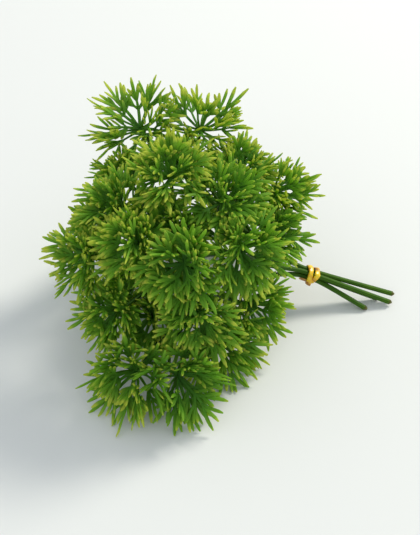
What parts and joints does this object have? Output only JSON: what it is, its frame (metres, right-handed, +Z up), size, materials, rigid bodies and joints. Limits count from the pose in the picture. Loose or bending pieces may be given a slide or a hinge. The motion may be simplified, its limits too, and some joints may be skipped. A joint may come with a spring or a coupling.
{
  "type": "parsley bunch",
  "caption": "Small tied bunch of cut parsley lying on its side, branched stems ending in whorls of finely divided leaves.",
  "frame": {"origin": "middle of the bunch's footprint, on the surface it lies on", "axes": "+Z up, +X from the leafy head towards the cut stem ends, +Y towards the back of the bunch"},
  "size_m": [0.1546, 0.1458, 0.094],
  "materials": {
    "leaf": "living leaf, satin, slightly translucent",
    "stem": "living stem, satin, finely ribbed",
    "tie": "glossy yellow elastic"
  },
  "bodies": {
    "root": {"spray_crown_left": "leaf", "spray_crown_right": "leaf", "spray_right_upper": "leaf", "spray_right_outer": "leaf", "spray_rear_upper": "leaf", "spray_rear_right": "leaf", "spray_rear_outer": "leaf", "spray_top_left": "leaf", "spray_top": "leaf", "spray_top_right": "leaf", "spray_front_right": "leaf", "spray_front_upper": "leaf", "spray_front_left": "leaf", "spray_middle_right": "leaf", "spray_middle": "leaf", "spray_left": "leaf", "spray_left_lower": "leaf", "spray_foot_left": "leaf", "spray_foot": "leaf", "spray_inner_low": "leaf", "spray_front_middle": "leaf", "spray_foot_right": "leaf", "spray_right_lower": "leaf", "spray_rear_left": "leaf", "spray_rear": "leaf", "spray_rear_foot": "leaf", "spray_rear_shoulder": "leaf", "spray_under_left": "leaf", "spray_inner": "leaf", "spray_under": "leaf", "stem_back_upper": "stem", "stem_front_upper": "stem", "stem_front_lower": "stem", "stem_back_lower": "stem", "tie_band": "tie"}
  },
  "joints": []
}
